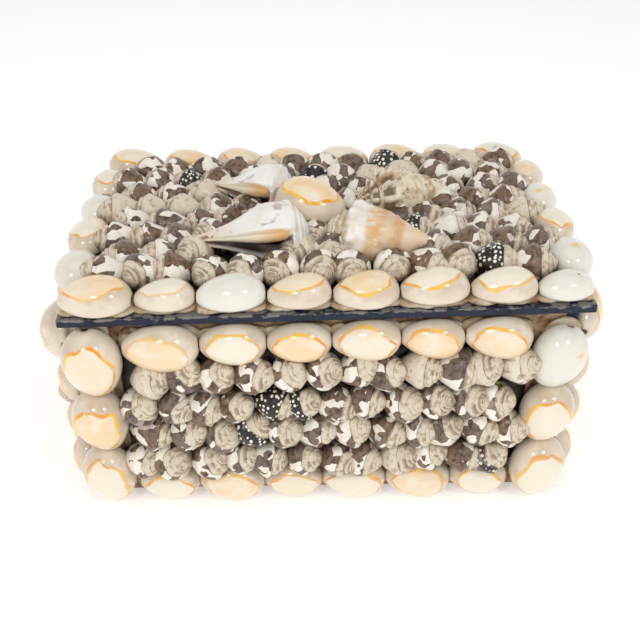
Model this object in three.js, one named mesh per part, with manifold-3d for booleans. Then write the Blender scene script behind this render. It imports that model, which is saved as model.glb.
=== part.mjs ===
// A keepsake box covered in sea shells. A plain hollow case carries rows of ring cowries round
// every wall and round its lid, fields of small dove shells between the rows, and five larger
// shells in the middle of the lid.
// Millimetres, Z up. The origin is on the ground under the middle of the case, the front is -Y.

import * as THREE from "three";
import { mergeVertices } from "three/addons/utils/BufferGeometryUtils.js";
import Module from "manifold-3d";

const wasm = await Module();
wasm.setup();

// Lid board
const lidWidth = 190;
const lidDepth = 125;
const lidThickness = 3;
const lidOverhangSide = 4;
const lidOverhangFront = 5;

// Case: the hand-built rim is higher at its right end, and the lid lies on that slope.
const rimHeight = 84;
const rimRise = 4.7;
const wallThickness = 3;
const floorThickness = 3;

// Glue and fits
const fitGap = 0.3;
const boardGap = 0.1;
const nestGap = 0.6;
const glueBed = 1.4;
const rimClearance = 1;
const footClearance = 1;

// Ring cowries: the wanted spacing of each run, which takes as many shells as fit it best
const lidCowriePitch = 23.75;
const rowCowriePitch = 25.8;
const columnCowriePitch = 26;
const sideTopCowriePitch = 28.7;
const sideColumnCowriePitch = 22;
const lidRowInset = 7;
const lidColumnInset = 3.5;
const cornerInset = 6.5;
const columnLean = 9;

// Ring cowrie: shares of its own length and width. The rows have slimmer shells than the columns.
const slimCowrie = { width: 0.66, height: 0.46 };
const broadCowrie = { width: 0.75, height: 0.53 };
const cowrieMarginHeight = 0.34;
const cowrieBaseWidth = 0.82;
const cowrieCrownWidth = 0.56;
const cowrieStations = [-0.74, -0.04, 0.7];
const cowrieTaper = 0.09;
const cowrieNeck = 0.3;

// Dove shells
const doveLength = 18;
const doveWidth = 11.6;
const wallDovePitch = { row: 12.2, column: 13.2 };
const lidDovePitch = { row: 12.2, column: 14.5 };
const doveLift = 10;
const doveSides = 5;
const doveShoulder = -0.1;
const wallDoveHeading = -28;
const doveHeadingSpread = 16;
const doveReach = 2.6;

// The five larger shells: where the middle of each lies on the lid, the way its canal points in
// degrees from +X, how far it is rolled about its own length, its length and its greatest radius
const backConch = { x: -27.5, y: 12.5, heading: 166, roll: 12, length: 36, radius: 10.6 };
const frontConch = { x: -27, y: -26.5, heading: 186, roll: 12, length: 43, radius: 11 };
const spinyShell = { x: 32.5, y: 3, heading: 19, roll: -130, length: 39, radius: 10.6 };
const bandedShell = { x: 19.5, y: -28.5, heading: -15, roll: -130, length: 39, radius: 10.8 };
const centreCowrie = { x: -4.5, y: -7, heading: -26, lift: 9, length: 29.5 };
const whorlSides = 12;
const lobeSharpness = 3;

// Corners nearer to each other than this are one
const weldReach = 1e-4;

// Sizes that follow
const degree = Math.PI / 180;
const caseWidth = lidWidth - 2 * lidOverhangSide;
const caseDepth = lidDepth - 2 * lidOverhangFront;
const rimSlope = rimRise / caseWidth;
const rimAngle = Math.atan(rimSlope);
const doveSeat = fitGap + glueBed / 2 + (doveWidth / 2) * Math.cos(Math.PI / doveSides);

// Colours
const paint = (color, roughness) =>
  new THREE.MeshStandardMaterial({ color, roughness, metalness: 0 });
const caseBlue = paint(0x1b2c4e, 0.8);
const cowrieCream = paint(0xeadfce, 0.18);
const doveGrey = paint(0xb9aea2, 0.55);
const conchWhite = paint(0xe9e2da, 0.4);
const spinyBrown = paint(0xa79a80, 0.6);
const bandedTan = paint(0xd9b98f, 0.4);

// The spread of hand work: a steady value from -1 to 1 for shell number k
const wobbleStep = 12.9898;
const wobble = (k) => Math.sin(k * wobbleStep);

// Solids and joins

function solidOf(geometry) {
  const bare = geometry.clone();
  bare.deleteAttribute("normal");
  bare.deleteAttribute("uv");
  const merged = mergeVertices(bare, weldReach);
  return new wasm.Manifold(
    new wasm.Mesh({
      numProp: 3,
      vertProperties: merged.attributes.position.array,
      triVerts: new Uint32Array(merged.index.array),
    }),
  );
}

function geometryOf(solid) {
  const mesh = solid.getMesh();
  const geometry = new THREE.BufferGeometry();
  geometry.setAttribute("position", new THREE.BufferAttribute(mesh.vertProperties, 3));
  geometry.setIndex(new THREE.BufferAttribute(mesh.triVerts, 1));
  geometry.computeVertexNormals();
  return geometry;
}

// Joins closed geometries that touch into one solid.
function joined(geometries) {
  return geometries.map(solidOf).reduce((whole, next) => whole.add(next));
}

function namedMesh(name, geometry, material) {
  const mesh = new THREE.Mesh(geometry, material);
  mesh.name = name;
  return mesh;
}

// A closed skin over rings of equal size, from a first tip to a last tip along +X.
function ringSkin(first, rings, last) {
  const sides = rings[0].length;
  const points = [first, ...rings.flat(), last];
  const end = points.length - 1;
  const faces = [];
  for (let s = 0; s < sides; s++) {
    const next = (s + 1) % sides;
    faces.push(0, 1 + next, 1 + s);
    for (let r = 0; r + 1 < rings.length; r++) {
      const a = 1 + r * sides;
      const b = a + sides;
      faces.push(a + s, a + next, b + next, a + s, b + next, b + s);
    }
    const a = 1 + (rings.length - 1) * sides;
    faces.push(a + s, a + next, end);
  }
  const geometry = new THREE.BufferGeometry();
  geometry.setAttribute("position", new THREE.Float32BufferAttribute(points.flat(), 3));
  geometry.setIndex(faces);
  return geometry;
}

// Shells

// One ring of a cowrie's skin round the X axis, at x, with its flat side on z = 0
function cowrieRing(x, halfWidth, height) {
  const base = halfWidth * cowrieBaseWidth;
  const crown = halfWidth * cowrieCrownWidth;
  return [
    [x, base, 0],
    [x, halfWidth, height * cowrieMarginHeight],
    [x, crown, height],
    [x, -crown, height],
    [x, -halfWidth, height * cowrieMarginHeight],
    [x, -base, 0],
  ];
}

// The rings of a ring cowrie along X, centred, with its narrow end at +X
function cowrieRings(length, build) {
  return cowrieStations.map((station) => {
    const swell = Math.sqrt(1 - station * station) * (1 - cowrieTaper * station);
    return cowrieRing(
      (station * length) / 2,
      (length * build.width * swell) / 2,
      length * build.height * swell,
    );
  });
}

// The end of a cowrie, low over its flat side
function cowrieTip(x, length, build) {
  return [x, 0, (length * build.height * cowrieMarginHeight) / 2];
}

function cowrieGeometry(length, build) {
  const tips = [-length / 2, length / 2].map((x) => cowrieTip(x, length, build));
  return ringSkin(tips[0], cowrieRings(length, build), tips[1]);
}

// A chain of touching cowries along X, each turned by the lean about its own middle
function cowrieChain(count, length, lean, build) {
  const rings = [];
  const turn = new THREE.Matrix4().makeRotationZ(lean);
  const middleOf = (i) => (i + 0.5 - count / 2) * length;
  for (let i = 0; i < count; i++) {
    const shell = cowrieRings(length, build).map((ring) =>
      ring.map((point) => {
        const turned = new THREE.Vector3(...point).applyMatrix4(turn);
        return [turned.x + middleOf(i), turned.y, turned.z];
      }),
    );
    rings.push(...shell);
    if (i + 1 < count)
      rings.push(
        cowrieRing(
          middleOf(i + 0.5),
          (length * build.width * cowrieNeck) / 2,
          length * build.height * cowrieNeck,
        ),
      );
  }
  const end = (count * length) / 2;
  return ringSkin(cowrieTip(-end, length, build), rings, cowrieTip(end, length, build));
}

// A dove shell along X, centred, with its spire at +X and a flat side underneath
function doveGeometry(length, width) {
  const ring = [];
  for (let s = 0; s < doveSides; s++) {
    const angle = ((s + 0.5) * 2 * Math.PI) / doveSides - Math.PI / 2;
    ring.push([
      length * doveShoulder,
      (Math.cos(angle) * width) / 2,
      (Math.sin(angle) * width) / 2,
    ]);
  }
  return ringSkin([-length / 2, 0, 0], [ring], [length / 2, 0, 0]);
}

// A coiled shell along X from its spire at -X to its canal at +X. The profile gives pairs of
// shares: how far along, and how wide. The outer lip flares at the angle 0 and the mouth is sunk
// at the mouth angle. Every other ring and side is raised in knobs, and each ring grows as it
// winds round.
function whorledGeometry({ length, radius }, form) {
  const rings = form.profile.map(([along, wide], index) => {
    const inMouth = along > form.mouth[0] && along < form.mouth[1] ? 1 : 0;
    const ring = [];
    for (let s = 0; s < whorlSides; s++) {
      const angle = (s * 2 * Math.PI) / whorlSides;
      const turn = angle / (2 * Math.PI);
      const lobe = (middle) => Math.max(0, Math.cos(angle - middle)) ** lobeSharpness * inMouth;
      const lip = form.lipFlare * lobe(0);
      const mouth = form.mouthDepth * lobe(form.mouthAngle * degree);
      const knob = form.knobs * (s % 2) * (index % 2);
      const spiral = form.spiral * (turn - 0.5);
      const r = radius * wide * (1 + lip + knob + spiral - mouth);
      ring.push([(along - 0.5) * length, Math.cos(angle) * r, Math.sin(angle) * r]);
    }
    return ring;
  });
  return ringSkin([-length / 2, 0, 0], rings, [length / 2, 0, 0]);
}

const conchForm = {
  profile: [
    [0.03, 0.26],
    [0.08, 0.6],
    [0.16, 0.94],
    [0.25, 1],
    [0.4, 0.9],
    [0.58, 0.66],
    [0.78, 0.36],
    [0.96, 0.16],
  ],
  mouth: [0.22, 0.86],
  lipFlare: 0.22,
  mouthAngle: -40,
  mouthDepth: 0.5,
  knobs: 0,
  spiral: -0.12,
};

const spinyForm = {
  profile: [
    [0.07, 0.26],
    [0.14, 0.5],
    [0.2, 0.52],
    [0.27, 0.86],
    [0.34, 0.84],
    [0.42, 1],
    [0.55, 0.9],
    [0.69, 0.7],
    [0.83, 0.4],
    [0.95, 0.18],
  ],
  mouth: [0.34, 0.84],
  lipFlare: 0.16,
  mouthAngle: 45,
  mouthDepth: 0.42,
  knobs: 0.1,
  spiral: 0.1,
};

const bandedForm = {
  profile: [
    [0.07, 0.26],
    [0.12, 0.5],
    [0.17, 0.48],
    [0.24, 0.86],
    [0.32, 0.98],
    [0.5, 0.86],
    [0.68, 0.62],
    [0.84, 0.36],
    [0.96, 0.18],
  ],
  mouth: [0.28, 0.9],
  lipFlare: 0.18,
  mouthAngle: 42,
  mouthDepth: 0.45,
  knobs: 0.05,
  spiral: 0.1,
};

// The case: five boards, glued edge to edge

// The height of the rim over a place along the case
const rimOver = (x) => rimHeight + rimRise / 2 + rimSlope * x;

// A board between two places along the case, with its far face at the given place across it
function caseBoard(name, left, right, topOver, thickness, back) {
  const outline = new THREE.Shape([
    new THREE.Vector2(left, 0),
    new THREE.Vector2(right, 0),
    new THREE.Vector2(right, topOver(right)),
    new THREE.Vector2(left, topOver(left)),
  ]);
  const board = new THREE.ExtrudeGeometry(outline, { depth: thickness, bevelEnabled: false });
  board.rotateX(Math.PI / 2);
  const mesh = namedMesh("case_" + name, board, caseBlue);
  mesh.position.y = back;
  box.add(mesh);
}

function addCase() {
  const side = caseWidth / 2;
  const face = caseDepth / 2;
  const innerSide = side - wallThickness;
  const innerFace = face - wallThickness;
  const gapFace = innerFace - boardGap;
  const floorSide = innerSide - boardGap;
  caseBoard("front", -side, side, rimOver, wallThickness, -innerFace);
  caseBoard("back", -side, side, rimOver, wallThickness, face);
  caseBoard("left", -side, -innerSide, rimOver, 2 * gapFace, gapFace);
  caseBoard("right", innerSide, side, rimOver, 2 * gapFace, gapFace);
  caseBoard("floor", -floorSide, floorSide, () => floorThickness, 2 * gapFace, gapFace);
}

// Rows of cowries. A run is a straight line of shells from one point to another on a board.

function shellRun(from, to, pitch) {
  const span = Math.hypot(to[0] - from[0], to[1] - from[1]);
  const count = Math.max(1, Math.round(span / pitch));
  const heading = Math.atan2(to[1] - from[1], to[0] - from[0]);
  const places = [];
  for (let i = 0; i < count; i++) {
    const share = (i + 0.5) / count;
    places.push({
      u: from[0] + (to[0] - from[0]) * share,
      v: from[1] + (to[1] - from[1]) * share,
    });
  }
  return { places, heading, length: span / count };
}

// The width of the shells that a run of this span takes
function runWidth(span, pitch, build) {
  return (span / Math.max(1, Math.round(span / pitch))) * build.width;
}

// A run of cowries on a wall, touching end to end, as one solid
function cowrieRow(name, from, to, pitch, lean, build) {
  const run = shellRun(from, to, pitch);
  const row = cowrieChain(run.places.length, run.length, lean * degree, build);
  row.rotateZ(run.heading);
  row.translate((from[0] + to[0]) / 2, (from[1] + to[1]) / 2, fitGap);
  return namedMesh(name, row, cowrieCream);
}

// Fields of dove shells

// Staggered places over a field that is higher at its right end by the given rise. The outer rows
// keep half of the row reach from the field's edges.
function fieldPlaces(width, height, rise, pitch, rowReach) {
  const columns = Math.max(2, Math.round((width - doveLength) / pitch.column) + 1);
  const meanHeight = height + rise / 2;
  const rows = Math.max(2, Math.round((meanHeight - rowReach) / pitch.row) + 1);
  const places = [];
  for (let row = 0; row < rows; row++) {
    const shift = row % 2;
    for (let column = 0; column + shift < columns; column++) {
      const u = (width - doveLength) * ((column + shift / 2) / (columns - 1) - 0.5);
      const top = height + rise * (0.5 + u / width);
      const v = (top - rowReach) * (row / (rows - 1)) + (rowReach - height) / 2;
      places.push({ u, v, k: places.length });
    }
  }
  return places;
}

// A bed of glue of the field's outline, with a dove shell pressed into it at each place
function doveField(width, height, rise, places) {
  const outline = new THREE.Shape([
    new THREE.Vector2(-width / 2, -height / 2),
    new THREE.Vector2(width / 2, -height / 2),
    new THREE.Vector2(width / 2, height / 2 + rise),
    new THREE.Vector2(-width / 2, height / 2),
  ]);
  const bed = new THREE.ExtrudeGeometry(outline, { depth: glueBed, bevelEnabled: false });
  bed.translate(0, 0, fitGap);
  const shells = places.map(({ u, v, k, heading }) => {
    const shell = doveGeometry(doveLength, doveWidth);
    shell.rotateY(-doveLift * degree);
    shell.rotateZ((heading + doveHeadingSpread * wobble(k)) * degree);
    shell.translate(u, v, doveSeat);
    return shell;
  });
  return joined([bed, ...shells]);
}

// Walls. In a wall's own frame X runs to the right as seen from outside, Y is up from the ground
// and Z points out of the wall.

function wallGroup(turn, reach) {
  const upright = new THREE.Group();
  upright.rotation.x = Math.PI / 2;
  upright.position.y = -reach;
  const turned = new THREE.Group();
  turned.rotation.z = turn * degree;
  turned.add(upright);
  box.add(turned);
  return upright;
}

function fieldMesh(name, left, right, bottom, topLeft, topRight) {
  const width = right - left;
  const height = topLeft - bottom;
  const rise = topRight - topLeft;
  const places = fieldPlaces(width, height, rise, wallDovePitch, doveWidth).map((place) => ({
    ...place,
    heading: wallDoveHeading,
  }));
  const solid = doveField(width, height, rise, places);
  const mesh = namedMesh(name, geometryOf(solid), doveGrey);
  mesh.position.set((left + right) / 2, (bottom + topLeft) / 2, 0);
  return mesh;
}

// Front and back: a full-height column at each corner, and a row above and below between them
function longWall(side, turn, rimLeft, rimRight) {
  const wall = wallGroup(turn, caseDepth / 2);
  const half = caseWidth / 2;
  const top = Math.min(rimLeft, rimRight) - rimClearance;
  const columnWidth = runWidth(top - footClearance, columnCowriePitch, broadCowrie);
  const columnLine = half - cornerInset;
  const rowEnd = columnLine - columnWidth / 2 - fitGap;
  const rowWidth = runWidth(2 * rowEnd, rowCowriePitch, slimCowrie);
  const slope = (rimRight - rimLeft) / caseWidth;
  const rimAt = (u) => (rimLeft + rimRight) / 2 + slope * u;
  const topLine = (u) => rimAt(u) - rimClearance - rowWidth / 2;
  const bottomLine = footClearance + rowWidth / 2;
  const row = (name, from, to) =>
    wall.add(cowrieRow(side + name, from, to, rowCowriePitch, 0, slimCowrie));
  row("_top_cowries", [-rowEnd, topLine(-rowEnd)], [rowEnd, topLine(rowEnd)]);
  row("_bottom_cowries", [-rowEnd, bottomLine], [rowEnd, bottomLine]);
  const column = (name, u, lean) => {
    const ends = [
      [u, footClearance],
      [u, top],
    ];
    wall.add(cowrieRow(side + name, ...ends, columnCowriePitch, lean, broadCowrie));
  };
  column("_left_cowries", -columnLine, columnLean);
  column("_right_cowries", columnLine, -columnLean);
  const fieldEnd = rowEnd - fitGap;
  const fieldBottom = footClearance + rowWidth + fitGap;
  const fieldTop = (u) => topLine(u) - rowWidth / 2 - fitGap;
  wall.add(
    fieldMesh(
      side + "_dove_shells",
      -fieldEnd,
      fieldEnd,
      fieldBottom,
      fieldTop(-fieldEnd),
      fieldTop(fieldEnd),
    ),
  );
}

// Left and right: a top row as long as the wall, a column below it at each end, and a bottom row
function shortWall(side, turn, rim) {
  const wall = wallGroup(turn, caseWidth / 2);
  const half = caseDepth / 2 - fitGap;
  const topWidth = runWidth(2 * half, sideTopCowriePitch, broadCowrie);
  const topLine = rim - rimClearance - topWidth / 2;
  const columnTop = topLine - topWidth / 2 - fitGap;
  const columnWidth = runWidth(columnTop - footClearance, sideColumnCowriePitch, broadCowrie);
  const columnLine = half - columnWidth / 2;
  const rowEnd = columnLine - columnWidth / 2 - fitGap;
  const rowWidth = runWidth(2 * rowEnd, rowCowriePitch, broadCowrie);
  const bottomLine = footClearance + rowWidth / 2;
  const row = (name, from, to, pitch) =>
    wall.add(cowrieRow(side + name, from, to, pitch, 0, broadCowrie));
  row("_top_cowries", [-half, topLine], [half, topLine], sideTopCowriePitch);
  row("_bottom_cowries", [-rowEnd, bottomLine], [rowEnd, bottomLine], rowCowriePitch);
  const column = (name, u) => row(name, [u, footClearance], [u, columnTop], sideColumnCowriePitch);
  column("_left_cowries", -columnLine);
  column("_right_cowries", columnLine);
  const fieldEnd = rowEnd - fitGap;
  const fieldBottom = footClearance + rowWidth + fitGap;
  const fieldTop = columnTop - fitGap;
  wall.add(
    fieldMesh(side + "_dove_shells", -fieldEnd, fieldEnd, fieldBottom, fieldTop, fieldTop),
  );
}

// Lid

// One row of single cowries on the lid, each its own piece
function lidCowries(name, from, to) {
  const run = shellRun(from, to, lidCowriePitch);
  run.places.forEach(({ u, v }, i) => {
    const shell = cowrieGeometry(run.length - fitGap, slimCowrie);
    shell.rotateZ(run.heading);
    const mesh = namedMesh("lid_" + name + "_cowrie_" + (i + 1), shell, cowrieCream);
    mesh.position.set(u, v, lidTop + fitGap);
    lid.add(mesh);
  });
}

// A coiled shell on its side: rolled about its own length, pointed its way and set on the board
function coiledShell(shell, form) {
  const geometry = whorledGeometry(shell, form);
  geometry.rotateX(shell.roll * degree);
  geometry.rotateZ(shell.heading * degree);
  geometry.computeBoundingBox();
  geometry.translate(shell.x, shell.y, fitGap - geometry.boundingBox.min.z);
  return geometry;
}

// The big cowrie that lies on top of the coiled shells
function topCowrie() {
  const geometry = cowrieGeometry(centreCowrie.length, broadCowrie);
  geometry.rotateZ(centreCowrie.heading * degree);
  geometry.translate(centreCowrie.x, centreCowrie.y, centreCowrie.lift);
  return geometry;
}

// A shell made larger all round by the gap that its neighbours keep
function swollen(geometry) {
  const size = new THREE.Vector3();
  const middle = new THREE.Vector3();
  geometry.computeBoundingBox();
  geometry.boundingBox.getSize(size);
  geometry.boundingBox.getCenter(middle);
  const larger = geometry.clone();
  larger.translate(-middle.x, -middle.y, -middle.z);
  larger.scale(
    (size.x + 2 * nestGap) / size.x,
    (size.y + 2 * nestGap) / size.y,
    (size.z + 2 * nestGap) / size.z,
  );
  larger.translate(middle.x, middle.y, middle.z);
  return larger;
}

// A solid cleared of shells that are already in place
function cleared(solid, others) {
  return others.reduce((rest, other) => rest.subtract(solidOf(swollen(other))), solid);
}

function lidPiece(name, geometry, material) {
  const mesh = namedMesh(name, geometry, material);
  mesh.position.z = lidTop;
  lid.add(mesh);
}

// Whether a place on the lid lies under one of the larger shells
function isCovered(u, v) {
  return [backConch, frontConch, spinyShell, bandedShell].some((shell) => {
    const angle = shell.heading * degree;
    const dx = u - shell.x;
    const dy = v - shell.y;
    const along = dx * Math.cos(angle) + dy * Math.sin(angle);
    const across = dy * Math.cos(angle) - dx * Math.sin(angle);
    const reach = shell.radius + doveReach;
    return Math.hypot(along / (shell.length / 2 + doveReach), across / reach) < 1;
  });
}

// The lid's dove shells point away from its middle and fill the space round the larger shells.
function lidField(halfWidth, halfDepth, largerShells) {
  const places = fieldPlaces(2 * halfWidth, 2 * halfDepth, 0, lidDovePitch, doveLength)
    .filter(({ u, v }) => !isCovered(u, v))
    .map((place) => ({ ...place, heading: Math.atan2(place.v, place.u) / degree }));
  const whole = cleared(doveField(2 * halfWidth, 2 * halfDepth, 0, places), largerShells);
  const pieces = whole.decompose().sort((a, b) => b.volume() - a.volume());
  lidPiece("lid_dove_shells", geometryOf(pieces[0]), doveGrey);
}

// The box

const box = new THREE.Group();
addCase();
longWall("front", 0, rimHeight, rimHeight + rimRise);
shortWall("right", 90, rimHeight + rimRise);
longWall("back", 180, rimHeight + rimRise, rimHeight);
shortWall("left", 270, rimHeight);

// The lid lies on the rim's slope. In its own frame z = 0 is the plane of the rim.
const lid = new THREE.Group();
lid.position.z = rimHeight + rimRise / 2;
lid.rotation.y = -rimAngle;
box.add(lid);
const lidTop = fitGap + lidThickness;
const board = new THREE.BoxGeometry(lidWidth, lidDepth, lidThickness);
board.translate(0, 0, fitGap + lidThickness / 2);
lid.add(namedMesh("lid_board", board, caseBlue));

// The rows run round the lid from its front left corner.
const lidRowLine = lidDepth / 2 - lidRowInset;
const lidRowEnd = lidWidth / 2;
const lidRowWidth = runWidth(lidWidth, lidCowriePitch, slimCowrie);
const lidColumnLine = lidWidth / 2 - lidColumnInset;
const lidColumnEnd = lidRowLine - lidRowWidth / 2 - fitGap;
const lidColumnWidth = runWidth(2 * lidColumnEnd, lidCowriePitch, slimCowrie);
lidCowries("front", [-lidRowEnd, -lidRowLine], [lidRowEnd, -lidRowLine]);
lidCowries("right", [lidColumnLine, -lidColumnEnd], [lidColumnLine, lidColumnEnd]);
lidCowries("back", [lidRowEnd, lidRowLine], [-lidRowEnd, lidRowLine]);
lidCowries("left", [-lidColumnLine, lidColumnEnd], [-lidColumnLine, -lidColumnEnd]);

// The larger shells nest among each other, and the dove shells among them.
const largerShells = [topCowrie()];
lidPiece("lid_centre_cowrie", largerShells[0], cowrieCream);
for (const [name, shell, form, material] of [
  ["lid_back_conch", backConch, conchForm, conchWhite],
  ["lid_front_conch", frontConch, conchForm, conchWhite],
  ["lid_spiny_shell", spinyShell, spinyForm, spinyBrown],
  ["lid_banded_shell", bandedShell, bandedForm, bandedTan],
]) {
  const geometry = geometryOf(cleared(solidOf(coiledShell(shell, form)), largerShells));
  largerShells.push(geometry);
  lidPiece(name, geometry, material);
}
const lidFieldHalfWidth = lidColumnLine - lidColumnWidth / 2 - fitGap;
lidField(lidFieldHalfWidth, lidColumnEnd - fitGap, largerShells);

export default box;
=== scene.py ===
"""Shell box: a lidded keepsake box, dressed in ring cowries, dove shells and larger sea shells."""

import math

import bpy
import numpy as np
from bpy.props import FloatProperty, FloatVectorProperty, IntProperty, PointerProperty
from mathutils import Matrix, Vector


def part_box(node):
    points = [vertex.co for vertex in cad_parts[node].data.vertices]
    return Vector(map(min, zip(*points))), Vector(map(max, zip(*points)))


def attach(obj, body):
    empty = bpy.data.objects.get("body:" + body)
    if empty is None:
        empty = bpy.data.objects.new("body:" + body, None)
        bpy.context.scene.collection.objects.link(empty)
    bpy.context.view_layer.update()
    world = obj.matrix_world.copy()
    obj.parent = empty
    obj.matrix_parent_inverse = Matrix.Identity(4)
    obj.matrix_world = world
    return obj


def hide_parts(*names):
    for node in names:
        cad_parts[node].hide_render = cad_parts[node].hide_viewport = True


bl_info = {
    "name": "Shell Box",
    "version": (1, 0, 0),
    "blender": (4, 5, 0),
    "location": "View3D > Sidebar > Shell Box",
    "description": "Dresses the packed keepsake box in sea shells, dry glue and dark blue paint",
    "category": "Object",
}

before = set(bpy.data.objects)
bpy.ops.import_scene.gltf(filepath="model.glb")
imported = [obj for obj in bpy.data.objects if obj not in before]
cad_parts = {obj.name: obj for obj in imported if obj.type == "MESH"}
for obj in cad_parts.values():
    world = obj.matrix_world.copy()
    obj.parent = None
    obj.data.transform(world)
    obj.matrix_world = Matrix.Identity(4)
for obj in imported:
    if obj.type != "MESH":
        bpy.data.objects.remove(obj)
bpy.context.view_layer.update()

MM = 0.001
BODY = "root"

# Places. Each wall and the lid have a frame of their own: X to the right as seen from outside,
# Y up the wall or to the back of the lid, and Z out of the board.

CASE_BOARDS = ("case_front", "case_right", "case_back", "case_left", "case_floor")
case_corners = np.array([corner for board in CASE_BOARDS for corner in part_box(board)])
CASE_HIGH = Vector(case_corners.max(axis=0))
CASE_SIZE = CASE_HIGH - Vector(case_corners.min(axis=0))
RIM_RISE = 4.7 * MM
LID_GAP = 0.3 * MM
LID_THICKNESS = 3 * MM
RIM_SLOPE = RIM_RISE / CASE_SIZE.x


def turned(degrees, axis="Z"):
    return Matrix.Rotation(math.radians(degrees), 4, axis)


def wall_place(turn, reach):
    return turned(turn) @ Matrix.Translation((0, -reach, 0)) @ turned(90, "X")


WALLS = {
    "front": wall_place(0, CASE_SIZE.y / 2),
    "right": wall_place(90, CASE_SIZE.x / 2),
    "back": wall_place(180, CASE_SIZE.y / 2),
    "left": wall_place(270, CASE_SIZE.x / 2),
}
RIM_CLIMB = {"front": RIM_SLOPE, "right": 0, "back": -RIM_SLOPE, "left": 0}
LONG_WALLS = ("front", "back")
LID = Matrix.Translation((0, 0, CASE_HIGH.z - RIM_RISE / 2)) @ Matrix.Rotation(
    -math.atan(RIM_SLOPE), 4, "Y"
)


def box_in(node, place):
    """Lowest and highest corner of a CAD node in the frame of a wall or of the lid."""
    inward = place.inverted()
    corners = np.array([inward @ vertex.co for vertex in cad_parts[node].data.vertices])
    return Vector(corners.min(axis=0)), Vector(corners.max(axis=0))


# Skins. A skin is a dict of numpy arrays: points, triangles, and for each point its place in the
# shell's own measure, its marks and its traits, three shares from 0 to 1 each. The marks are notch,
# yellow spot and hole on a cowrie, and mouth, lip and relief on a coiled shell. On a dove shell the
# last of them is its depth over the board, which sets how much painted shade it gets.

SHELL_FINISH = 0
GLUE_FINISH = 1


def ring_triangles(rings, sides):
    """Triangles of a closed skin: a first end, rings of points, and a last end."""
    side = np.arange(sides)
    after = (side + 1) % sides
    last = 1 + rings * sides
    first_fan = np.stack([np.zeros(sides, int), 1 + after, 1 + side], axis=1)
    last_fan = np.stack([last - sides + side, last - sides + after, np.full(sides, last)], axis=1)
    start = 1 + np.arange(rings - 1)[:, None] * sides
    a, b = start + side, start + after
    halves = [np.stack([a, b, b + sides], axis=-1), np.stack([a, b + sides, a + sides], axis=-1)]
    return np.concatenate([first_fan, *[half.reshape(-1, 3) for half in halves], last_fan])


def closed_skin(first, grid, last, place, marks, traits):
    """A skin over a grid of rings, turned so that its faces point outwards."""
    rings, sides = grid.shape[:2]
    points = np.vstack([first, grid.reshape(-1, 3), last])
    triangles = ring_triangles(rings, sides)
    a, b, c = (points[triangles[:, corner]] for corner in range(3))
    if np.einsum("ij,ij->", a, np.cross(b, c)) < 0:
        triangles = triangles[:, ::-1]
    ends = [np.zeros((1, 3)), marks.reshape(-1, 3), np.zeros((1, 3))]
    return {
        "points": points,
        "triangles": triangles,
        "place": place(points),
        "marks": np.vstack(ends),
        "traits": np.tile(np.asarray(traits, float), (len(points), 1)),
        "finish": SHELL_FINISH,
    }


def posed(skin, matrix):
    """The skin moved to its place."""
    turn = np.array(matrix.to_3x3())
    moved = dict(skin)
    moved["points"] = skin["points"] @ turn.T + np.array(matrix.translation)
    return moved


def shell_piece(name, skins, finishes, slot, *nodes):
    """One object over all the skins. It rides on the box and stands for the named CAD nodes."""
    starts = np.cumsum([0] + [len(skin["points"]) for skin in skins[:-1]])
    points = np.vstack([skin["points"] for skin in skins])
    triangles = np.vstack([skin["triangles"] + start for skin, start in zip(skins, starts)])
    finish = np.concatenate([np.full(len(skin["triangles"]), skin["finish"]) for skin in skins])
    mesh = bpy.data.meshes.new(name)
    mesh.vertices.add(len(points))
    mesh.vertices.foreach_set("co", points.ravel())
    mesh.loops.add(triangles.size)
    mesh.loops.foreach_set("vertex_index", triangles.ravel())
    mesh.polygons.add(len(triangles))
    mesh.polygons.foreach_set("loop_start", np.arange(0, triangles.size, 3))
    mesh.polygons.foreach_set("use_smooth", np.ones(len(triangles), bool))
    for kind in ("place", "marks", "traits"):
        attribute = mesh.attributes.new(kind, "FLOAT_VECTOR", "POINT")
        attribute.data.foreach_set("vector", np.vstack([skin[kind] for skin in skins]).ravel())
    for material in finishes:
        mesh.materials.append(material)
    mesh.polygons.foreach_set("material_index", finish)
    mesh.update(calc_edges=True)
    piece = bpy.data.objects.new(name, mesh)
    bpy.context.scene.collection.objects.link(piece)
    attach(piece, BODY)
    if nodes:
        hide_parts(*nodes)
    return piece


def smooth_step(low, high, value):
    share = np.clip((value - low) / (high - low), 0, 1)
    return share * share * (3 - 2 * share)


def hump(value, middle, reach):
    """A smooth rise to 1 round the middle value."""
    return np.exp(-(((value - middle) / reach) ** 2))


# Ring cowries. A build holds shares of the shell's length. The rows have slimmer shells than the
# columns.

COWRIE_RINGS = 40
COWRIE_SIDES = 40
SLIM = {"width": 0.66, "height": 0.46}
BROAD = {"width": 0.75, "height": 0.53}
COWRIE_MARGIN = 0.34
COWRIE_TIP_LIFT = 0.12
NOTCH_REACH = 0.06
NOTCH_DEPTH = 0.035


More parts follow.
